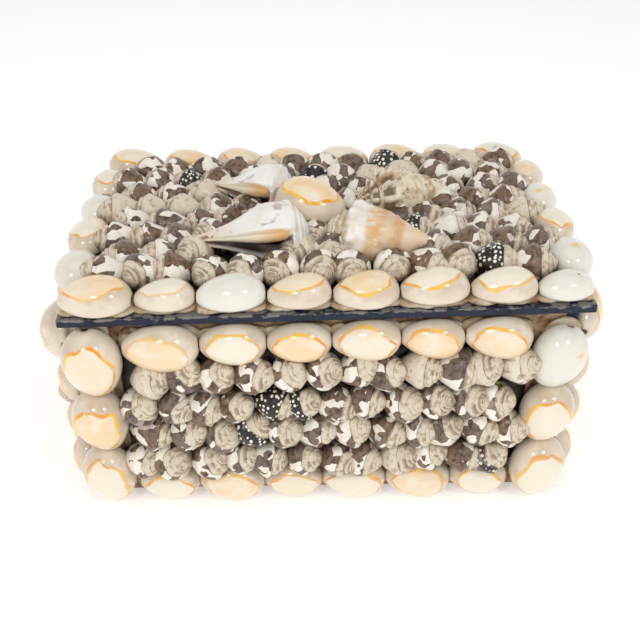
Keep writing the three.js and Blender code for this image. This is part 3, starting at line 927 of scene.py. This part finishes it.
def field_bed_finish(finish, look):
    """Dark paint under a thin skin of glue, near black as painted shade deep between the dove shells."""
    own = finish.own()
    whole = finish.coats(
        look.navy,
        # Painted shade: the glue between the dove shells is coloured near black
        (look.painted_shade_glue, finish.noise(own, 1.6, 4.0, 0.6), 0.32, 0.46),
        (look.glue_brown, finish.between(finish.noise(own, 2.2, 3.0), 0.6, 0.7) * 0.6),
    )
    finish.bump(finish.noise(own, 4.0, 3.0), 0.4, 0.4)
    finish.surface(base_color=whole, roughness=0.5)


def board_finish(finish, look):
    """Dark blue paint on board, worn pale at its edges and smeared with glue outside."""
    coordinates = finish.node("TexCoord").outputs["Object"]
    x, y, z = finish.parts(coordinates)
    lid_height = z - (x * RIM_SLOPE + (CASE_HIGH.z - RIM_RISE / 2 + LID_GAP))
    limit = finish.between(lid_height, LID_THICKNESS * 0.45, LID_THICKNESS * 0.95) * -0.16 + 0.62
    streak_measure = finish.vector("MULTIPLY", coordinates, (1.0, 1.0, 2.2))
    streaks = finish.noise(streak_measure, 220.0, 4.0, 0.65)
    side, face = CASE_SIZE.x / 2, CASE_SIZE.y / 2
    far_x, far_y = abs(x), abs(y)
    faces = []
    for far, reach, other, other_reach in ((far_y, face, far_x, side), (far_x, side, far_y, face)):
        outer = finish.between(far, reach - 1 * MM, reach - 0.4 * MM)
        not_lid = finish.between(far, reach + 2 * MM, reach + 1 * MM)
        inner = finish.between(other, other_reach - 4 * MM, other_reach - 5 * MM)
        faces.append(outer * not_lid * inner)
    smeared = finish.maths("MAXIMUM", *faces) * finish.between(lid_height, -LID_GAP, -1 * MM)
    cloud = finish.noise(coordinates, 190.0, 4.0, 0.6)
    glue = finish.coats(look.glue_brown, (look.glue, cloud, 0.36, 0.64))
    whole = finish.coats(
        look.blue,
        (look.navy, finish.noise(coordinates, 420.0, 3.0), 0.35, 0.7),
        (look.scuff, finish.between(streaks, limit, limit + 0.08) * 0.55),
        (glue, smeared * finish.between(cloud, 0.28, 0.4)),
    )
    finish.bump(finish.noise(coordinates, 700.0, 4.0), 0.5, 0.4)
    finish.surface(base_color=whole, roughness=0.55)


def floor_finish(finish, look):
    """White paper with a faint speckle."""
    speckle = finish.noise(finish.node("TexCoord").outputs["Object"], 60.0)
    whole = finish.coats(look.floor, ([0.97 * channel for channel in look.floor], speckle * 0.3))
    finish.surface(base_color=whole, roughness=0.9, emission_color=(1, 1, 1, 1), emission_strength=0.3)


FINISHES = {
    # name: how it is made, and the settings that it takes its colours from
    "cowrie_glaze": (cowrie_glaze, "shell_box_cowries"),
    "dove_shell_skin": (dove_skin_finish, "shell_box_doves"),
    "whelk_white": (whelk_finish, "shell_box_large"),
    "spiny_shell_skin": (spiny_finish, "shell_box_large"),
    "banded_shell_skin": (banded_finish, "shell_box_large"),
    "dry_glue": (glue_finish, "shell_box_boards"),
    "field_bed": (field_bed_finish, "shell_box_boards"),
    "painted_board": (board_finish, "shell_box_boards"),
    "studio_floor": (floor_finish, "shell_box_stage"),
}


def finish_of(scene, name):
    """The finish of that name, made the first time that it is asked for."""
    if name not in bpy.data.materials:
        make, settings = FINISHES[name]
        make(Finish(name), getattr(scene, settings))
    return bpy.data.materials[name]


# Settings


def swatch(name, red, green, blue, description):
    """A colour that a user can change, given as it looks on screen from 0 to 255."""
    linear = tuple((channel / 255) ** 2.2 for channel in (red, green, blue))
    return FloatVectorProperty(
        name=name, description=description, subtype="COLOR", size=3, default=linear, min=0, max=1
    )


def distance(name, millimetres, description):
    default = millimetres * MM
    return FloatProperty(
        name=name, description=description, default=default, unit="LENGTH", subtype="DISTANCE", min=0
    )


def angle(name, degrees, description):
    default = math.radians(degrees)
    return FloatProperty(
        name=name, description=description, default=default, unit="ROTATION", subtype="ANGLE"
    )


class ShellBoxCowries(bpy.types.PropertyGroup):
    margin: swatch("Margin", 232, 217, 197, "Low rim of a ring cowrie")
    flank: swatch("Flank", 210, 190, 165, "Side of a ring cowrie, outside its ring")
    back: swatch("Back", 243, 212, 168, "Back of a ring cowrie, inside its ring")
    pale_back: swatch("Pale back", 241, 231, 210, "Paler cowries inside the ring")
    white: swatch("White", 232, 229, 216, "Cowries that are nearly white")
    ring: swatch("Ring", 246, 194, 78, "Ring on the back")
    ring_deep: swatch("Deep ring", 236, 154, 36, "Darker stretches of the ring")
    notch: swatch("Notch", 70, 46, 32, "Inside of the notches and holes")


class ShellBoxDoves(bpy.types.PropertyGroup):
    length: distance("Length", 19, "Length of a dove shell")
    width: distance("Width", 13.8, "Width of a dove shell")
    wall_rows: distance("Wall rows", 12, "Spacing of the rows on a wall")
    wall_columns: distance("Wall columns", 13.4, "Spacing along a row on a wall")
    lid_rows: distance("Lid rows", 11.4, "Spacing of the rows on the lid")
    lid_columns: distance("Lid columns", 13.4, "Spacing along a row on the lid")
    seat: distance("Seat", 5.6, "Height of a shell's middle over its board")
    wall_heading: angle("Wall heading", 26, "Where the points of the shells on a wall aim, from the right")
    wall_lift: angle("Wall lift", 30, "How far the points stand off a wall")
    lid_lift: angle("Lid lift", 12, "How far the points stand off the lid")
    chalk: swatch("Chalk", 243, 235, 221, "Flags and dots")
    cream: swatch("Cream", 222, 207, 186, "Chalky points")
    sand: swatch("Sand", 172, 147, 120, "Stains on the points")
    grey_brown: swatch("Grey brown", 120, 103, 90, "Ground of the cooler shells")
    warm_brown: swatch("Warm brown", 132, 103, 78, "Ground of the warmer shells")
    umber: swatch("Umber", 72, 52, 40, "Darkest stains and sutures")
    # Also the near-black painted shade on the dove shells towards their board
    black_and_painted_shade: swatch("Soot", 36, 28, 25, "Ground of the dotted shells")


class ShellBoxLarge(bpy.types.PropertyGroup):
    white: swatch("White", 243, 240, 234, "Whelks and the banded shell's shoulder")
    ivory: swatch("Ivory", 230, 218, 200, "Shaded whites")
    blush: swatch("Blush", 228, 204, 178, "Towards the canal")
    lilac: swatch("Lilac", 172, 144, 138, "Blotches of the whelks")
    lip: swatch("Lip", 232, 178, 112, "Edge of the mouth at the shoulder")
    lip_cream: swatch("Cream lip", 246, 234, 210, "Edge of the mouth towards the canal")
    mouth: swatch("Mouth", 56, 34, 26, "Depth of the mouth")
    throat: swatch("Throat", 120, 82, 60, "Lighter streaks in the mouth")
    spiny_cream: swatch("Spiny cream", 238, 225, 203, "Spiny shell")
    spiny_beige: swatch("Spiny beige", 204, 182, 150, "Spiny shell, stained")
    spiny_brown: swatch("Spiny brown", 96, 74, 54, "Spiny shell, furrows")
    rust: swatch("Rust", 168, 118, 66, "Spiny shell, stains")
    tan: swatch("Tan", 230, 200, 160, "Pale bands of the banded shell")
    amber: swatch("Amber", 208, 156, 104, "Dark bands")
    mauve: swatch("Mauve", 204, 180, 164, "Greyish band")


class ShellBoxBoards(bpy.types.PropertyGroup):
    blue: swatch("Blue", 17, 33, 58, "Paint of the boards")
    navy: swatch("Navy", 7, 15, 31, "Darker paint")
    # Painted shade: near-black glue in the gaps between the dove shells
    painted_shade_glue: swatch("Dark glue", 46, 38, 33, "Dirty glue between the dove shells")
    scuff: swatch("Scuff", 158, 152, 142, "Worn paint and thin smears")
    glue: swatch("Glue", 184, 158, 126, "Dry glue")
    glue_white: swatch("White glue", 212, 198, 176, "Thick dry glue")
    glue_brown: swatch("Brown glue", 124, 88, 58, "Burnt glue")


class ShellBoxStage(bpy.types.PropertyGroup):
    floor: swatch("Floor", 252, 252, 252, "Studio floor")
    lens: FloatProperty(
        name="Lens", description="Focal length of the camera", default=47.54, unit="CAMERA", min=1
    )
    seed: IntProperty(name="Seed", description="First of the seeds of the random draws", default=11)


# Operators

WALL_ROWS = {
    # part of a wall: shells on a long wall, shells on a short wall, lean on a long wall in degrees
    "top": (6, 4, 0),
    "bottom": (6, 3, 0),
    "left": (3, 3, 9),
    "right": (3, 3, -9),
}
LID_ROWS = {
    # side: number of shells, heading of their narrow ends in degrees
    "front": (8, 180),
    "right": (4, 90),
    "back": (8, 0),
    "left": (4, 90),
}


COWRIE_FINISHES = ("cowrie_glaze", "dry_glue")
DOVE_FINISHES = ("dove_shell_skin", "field_bed")

# How far the dove shells stray at random: heading and lift in degrees, and place in mm
WALL_STRAY = {"heading": 34, "lift": 15, "u": 1.6, "v": 1.3}
LID_STRAY = {"heading": 26, "lift": 8, "u": 1.5, "v": 1.3}
COVER_SPARE = -4.5 * MM


class SHELLBOX_OT_boards(bpy.types.Operator):
    """Paints the case and the lid board"""

    bl_idname = "shell_box.boards"
    bl_label = "Boards"

    def execute(self, context):
        paint = finish_of(context.scene, "painted_board")
        for node in (*CASE_BOARDS, "lid_board"):
            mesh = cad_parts[node].data
            mesh.materials.clear()
            mesh.materials.append(paint)
        return {"FINISHED"}


class SHELLBOX_OT_wall_cowries(bpy.types.Operator):
    """Rows and columns of ring cowries that frame each wall"""

    bl_idname = "shell_box.wall_cowries"
    bl_label = "Wall cowries"

    def execute(self, context):
        finishes = [finish_of(context.scene, name) for name in COWRIE_FINISHES]
        draw = np.random.default_rng(context.scene.shell_box_stage.seed)
        for side, place in WALLS.items():
            is_long = side in LONG_WALLS
            for part, (long_count, short_count, lean) in WALL_ROWS.items():
                node = f"{side}_{part}_cowries"
                climb = RIM_CLIMB[side] if part == "top" else 0
                count = long_count if is_long else short_count
                build = SLIM if is_long and part in ("top", "bottom") else BROAD
                skins = cowrie_row(node, place, count, climb, build, draw, lean if is_long else 0)
                shell_piece(f"dressed_{node}", skins, finishes, "cowrie", node)
        return {"FINISHED"}


class SHELLBOX_OT_lid_cowries(bpy.types.Operator):
    """Single ring cowries round the edge of the lid"""

    bl_idname = "shell_box.lid_cowries"
    bl_label = "Lid cowries"

    def execute(self, context):
        finishes = [finish_of(context.scene, name) for name in COWRIE_FINISHES]
        draw = np.random.default_rng(context.scene.shell_box_stage.seed + 1)
        for side, (count, heading) in LID_ROWS.items():
            nodes = [f"lid_{side}_cowrie_{index + 1}" for index in range(count)]
            boxes = [box_in(node, LID) for node in nodes]
            first, last = ((boxes[end][0] + boxes[end][1]) / 2 for end in (0, -1))
            step = (last - first) / (count - 1)
            span = step.length * count
            start = first - step / 2
            direction = step.normalized()
            begun = 0
            for node, (low, high), share in zip(nodes, boxes, row_shares(f"lid_{side}", count, draw)):
                middle = start + direction * (begun + share / 2) * span
                begun += share
                middle.z = low.z
                look = look_of(node, draw)
                turn = heading + spread(draw, LID_TURN)
                rock = spread(draw, LID_ROCK)
                length = share * span * LID_OVERLAP
                skins = cowrie_on(LID, middle, turn, length, SLIM, draw, look, rock)
                shell_piece(f"dressed_{node}", skins, finishes, "cowrie", node)
        return {"FINISHED"}


class SHELLBOX_OT_centre_cowrie(bpy.types.Operator):
    """The big ring cowrie on top of the larger shells"""

    bl_idname = "shell_box.centre_cowrie"
    bl_label = "Centre cowrie"

    def execute(self, context):
        draw = np.random.default_rng(context.scene.shell_box_stage.seed + 2)
        node = "lid_centre_cowrie"
        low, high = box_in(node, LID)
        middle = (low + high) / 2
        middle.z = low.z
        skin = cowrie_skin(CENTRE_COWRIE["length"] * MM, BROAD, draw, 1.0, 0.0)
        skin["traits"][:, 0] = CENTRE_COWRIE["paleness"]
        placed = posed(skin, LID @ Matrix.Translation(middle) @ turned(CENTRE_COWRIE["heading"]))
        finishes = [finish_of(context.scene, "cowrie_glaze")]
        shell_piece(f"dressed_{node}", [placed], finishes, "cowrie", node)
        return {"FINISHED"}


class SHELLBOX_OT_wall_doves(bpy.types.Operator):
    """Fields of dove shells on the four walls"""

    bl_idname = "shell_box.wall_doves"
    bl_label = "Wall dove shells"

    def execute(self, context):
        doves = context.scene.shell_box_doves
        finishes = [finish_of(context.scene, name) for name in DOVE_FINISHES]
        draw = np.random.default_rng(context.scene.shell_box_stage.seed + 3)
        for side, place in WALLS.items():
            node = f"{side}_dove_shells"
            low, high = box_in(node, place)
            rise = RIM_CLIMB[side] * (high.x - low.x)
            height = high.y - low.y - abs(rise)
            lower_left = height if rise >= 0 else height - rise
            base = low.y + lower_left / 2
            skins = [glue_bed(place, low, Vector((high.x, high.y, low.z)), rise, draw)]
            middle = (low.x + high.x) / 2
            pitches = (doves.wall_rows, doves.wall_columns)
            for u, v in field_places(high.x - low.x, lower_left, rise, *pitches, doves):
                heading = math.degrees(doves.wall_heading) + spread(draw, WALL_STRAY["heading"])
                lift = math.degrees(doves.wall_lift) + spread(draw, WALL_STRAY["lift"])
                u += middle + spread(draw, WALL_STRAY["u"]) * MM
                v += base + spread(draw, WALL_STRAY["v"]) * MM
                skins.append(dove_on(place, u, v, doves.seat, heading, lift, doves, draw))
            shell_piece(f"dressed_{node}", skins, finishes, "dove_shell", node)
        return {"FINISHED"}


class SHELLBOX_OT_lid_doves(bpy.types.Operator):
    """Dove shells on the lid, pointing away from its middle"""

    bl_idname = "shell_box.lid_doves"
    bl_label = "Lid dove shells"

    def execute(self, context):
        doves = context.scene.shell_box_doves
        finishes = [finish_of(context.scene, name) for name in DOVE_FINISHES]
        draw = np.random.default_rng(context.scene.shell_box_stage.seed + 4)
        node = "lid_dove_shells"
        low, high = box_in(node, LID)
        skins = [glue_bed(LID, low, Vector((high.x, high.y, low.z)), 0, draw)]
        pitches = (doves.lid_rows, doves.lid_columns)
        for u, v in field_places(high.x - low.x, high.y - low.y, 0, *pitches, doves):
            heading = math.degrees(math.atan2(v, u)) + spread(draw, LID_STRAY["heading"])
            lift = math.degrees(doves.lid_lift) + spread(draw, LID_STRAY["lift"])
            u += spread(draw, LID_STRAY["u"]) * MM
            v += spread(draw, LID_STRAY["v"]) * MM
            if not is_covered(u, v, COVER_SPARE):
                skins.append(dove_on(LID, u, v, low.z + doves.seat, heading, lift, doves, draw))
        shell_piece(f"dressed_{node}", skins, finishes, "dove_shell", node)
        return {"FINISHED"}


class SHELLBOX_OT_whelks(bpy.types.Operator):
    """The two white whelks on the lid"""

    bl_idname = "shell_box.whelks"
    bl_label = "White whelks"

    def execute(self, context):
        for node in ("lid_back_conch", "lid_front_conch"):
            large_shell(context.scene, node, WHELK_FORM, "whelk_white", "conch")
        return {"FINISHED"}


class SHELLBOX_OT_spiny_shell(bpy.types.Operator):
    """The knobbly shell on the lid"""

    bl_idname = "shell_box.spiny_shell"
    bl_label = "Spiny shell"

    def execute(self, context):
        large_shell(context.scene, "lid_spiny_shell", SPINY_FORM, "spiny_shell_skin", "spiny_shell")
        return {"FINISHED"}


class SHELLBOX_OT_banded_shell(bpy.types.Operator):
    """The tan banded shell on the lid"""

    bl_idname = "shell_box.banded_shell"
    bl_label = "Banded shell"

    def execute(self, context):
        large_shell(context.scene, "lid_banded_shell", BANDED_FORM, "banded_shell_skin", "banded_shell")
        return {"FINISHED"}


# The camera stands where the photograph was taken from.
CAMERA_PLACE = Vector((-15.3, -306.4, 256.05)) * MM
CAMERA_TURN = math.radians(-2.86)
CAMERA_PITCH = math.radians(34.73)
CAMERA_ROLL = math.radians(1.18)
SENSOR_WIDTH = 36
CLIP_START = 0.01
LAMP_AIM = Vector((0, 0, 0.06))
WORLD_LIGHT = 0.33

SOFT_BOXES = {
    # name: place in m, size in m, watts
    "key_left": ((-0.3, -0.5, 0.62), 0.12, 0.9),
    "key_right": ((0.28, -0.46, 0.66), 0.12, 0.9),
    "overhead": ((0.0, 0.1, 0.9), 0.9, 1.4),
    "front_fill": ((0.0, -0.95, 0.25), 0.9, 0.2),
}


def camera_matrix():
    ahead = Vector(
        (
            -math.sin(CAMERA_TURN) * math.cos(CAMERA_PITCH),
            math.cos(CAMERA_TURN) * math.cos(CAMERA_PITCH),
            -math.sin(CAMERA_PITCH),
        )
    )
    right = Vector((math.cos(CAMERA_TURN), math.sin(CAMERA_TURN), 0))
    up = right.cross(ahead)
    across = right * math.cos(CAMERA_ROLL) + up * math.sin(CAMERA_ROLL)
    rising = up * math.cos(CAMERA_ROLL) - right * math.sin(CAMERA_ROLL)
    turn = Matrix((across, rising, -ahead)).transposed()
    return Matrix.Translation(CAMERA_PLACE) @ turn.to_4x4()


# The floor is round and turns up into a wall far behind the box, on every side of it.
FLOOR_SIDES = 96
FLOOR_CURVE = (
    # distance from the middle and height, in m
    (2.8, 0.0),
    (3.2, 0.04),
    (3.6, 0.16),
    (3.9, 0.42),
    (4.0, 0.8),
    (4.0, 3.0),
)


def studio_floor_mesh():
    points = [(0, 0, 0)]
    for reach, height in FLOOR_CURVE:
        for side in range(FLOOR_SIDES):
            turn = 2 * math.pi * side / FLOOR_SIDES
            points.append((reach * math.cos(turn), reach * math.sin(turn), height))
    faces = []
    for side in range(FLOOR_SIDES):
        after = (side + 1) % FLOOR_SIDES
        faces.append((0, 1 + side, 1 + after))
        for ring in range(len(FLOOR_CURVE) - 1):
            inner, outer = 1 + ring * FLOOR_SIDES, 1 + (ring + 1) * FLOOR_SIDES
            faces.append((inner + side, outer + side, outer + after, inner + after))
    mesh = bpy.data.meshes.new("floor")
    mesh.from_pydata(points, [], faces)
    mesh.polygons.foreach_set("use_smooth", [True] * len(mesh.polygons))
    return mesh


class SHELLBOX_OT_stage(bpy.types.Operator):
    """Pale floor, soft light and the camera"""

    bl_idname = "shell_box.stage"
    bl_label = "Stage"

    def execute(self, context):
        scene = context.scene
        mesh = studio_floor_mesh()
        mesh.materials.append(finish_of(scene, "studio_floor"))
        floor = bpy.data.objects.new("floor", mesh)
        scene.collection.objects.link(floor)
        for name, (place, size, power) in SOFT_BOXES.items():
            light = bpy.data.lights.new(name, "AREA")
            light.shape = "DISK"
            light.size = size
            light.energy = power
            lamp = bpy.data.objects.new(name, light)
            lamp.location = place
            lamp.rotation_euler = (LAMP_AIM - Vector(place)).to_track_quat("-Z", "Y").to_euler()
            scene.collection.objects.link(lamp)
        world = bpy.data.worlds.new("studio")
        world.use_nodes = True
        sky = world.node_tree.nodes["Background"]
        sky.inputs["Color"].default_value = (1, 1, 1, 1)
        sky.inputs["Strength"].default_value = WORLD_LIGHT
        scene.world = world
        camera = bpy.data.cameras.new("camera")
        camera.lens = scene.shell_box_stage.lens
        camera.sensor_width = SENSOR_WIDTH
        camera.clip_start = CLIP_START
        holder = bpy.data.objects.new("camera", camera)
        holder.matrix_world = camera_matrix()
        scene.collection.objects.link(holder)
        scene.camera = holder
        scene.view_settings.view_transform = "Standard"
        return {"FINISHED"}


OPERATORS = (
    SHELLBOX_OT_stage,
    SHELLBOX_OT_boards,
    SHELLBOX_OT_wall_cowries,
    SHELLBOX_OT_lid_cowries,
    SHELLBOX_OT_centre_cowrie,
    SHELLBOX_OT_wall_doves,
    SHELLBOX_OT_lid_doves,
    SHELLBOX_OT_whelks,
    SHELLBOX_OT_spiny_shell,
    SHELLBOX_OT_banded_shell,
)


class SHELLBOX_PT_panel(bpy.types.Panel):
    """Steps that dress the box"""

    bl_idname = "SHELLBOX_PT_panel"
    bl_label = "Shell Box"
    bl_space_type = "VIEW_3D"
    bl_region_type = "UI"
    bl_category = "Shell Box"

    def draw(self, context):
        for operator in OPERATORS:
            self.layout.operator(operator.bl_idname)
        for name in SETTINGS:
            settings = getattr(context.scene, name)
            self.layout.label(text=settings.bl_rna.identifier)
            for key in settings.bl_rna.properties.keys():
                if key not in ("rna_type", "name"):
                    self.layout.prop(settings, key)


SETTINGS = {
    "shell_box_cowries": ShellBoxCowries,
    "shell_box_doves": ShellBoxDoves,
    "shell_box_large": ShellBoxLarge,
    "shell_box_boards": ShellBoxBoards,
    "shell_box_stage": ShellBoxStage,
}


def register():
    for group in (*SETTINGS.values(), *OPERATORS, SHELLBOX_PT_panel):
        bpy.utils.register_class(group)
    for name, group in SETTINGS.items():
        setattr(bpy.types.Scene, name, PointerProperty(type=group))


def unregister():
    for name in SETTINGS:
        delattr(bpy.types.Scene, name)
    for group in (SHELLBOX_PT_panel, *reversed(OPERATORS), *reversed(SETTINGS.values())):
        bpy.utils.unregister_class(group)


def main():
    register()
    bpy.ops.shell_box.stage()
    bpy.ops.shell_box.boards()
    bpy.ops.shell_box.wall_cowries()
    bpy.ops.shell_box.lid_cowries()
    bpy.ops.shell_box.centre_cowrie()
    bpy.ops.shell_box.wall_doves()
    bpy.ops.shell_box.lid_doves()
    bpy.ops.shell_box.whelks()
    bpy.ops.shell_box.spiny_shell()
    bpy.ops.shell_box.banded_shell()


if __name__ == "__main__":
    main()
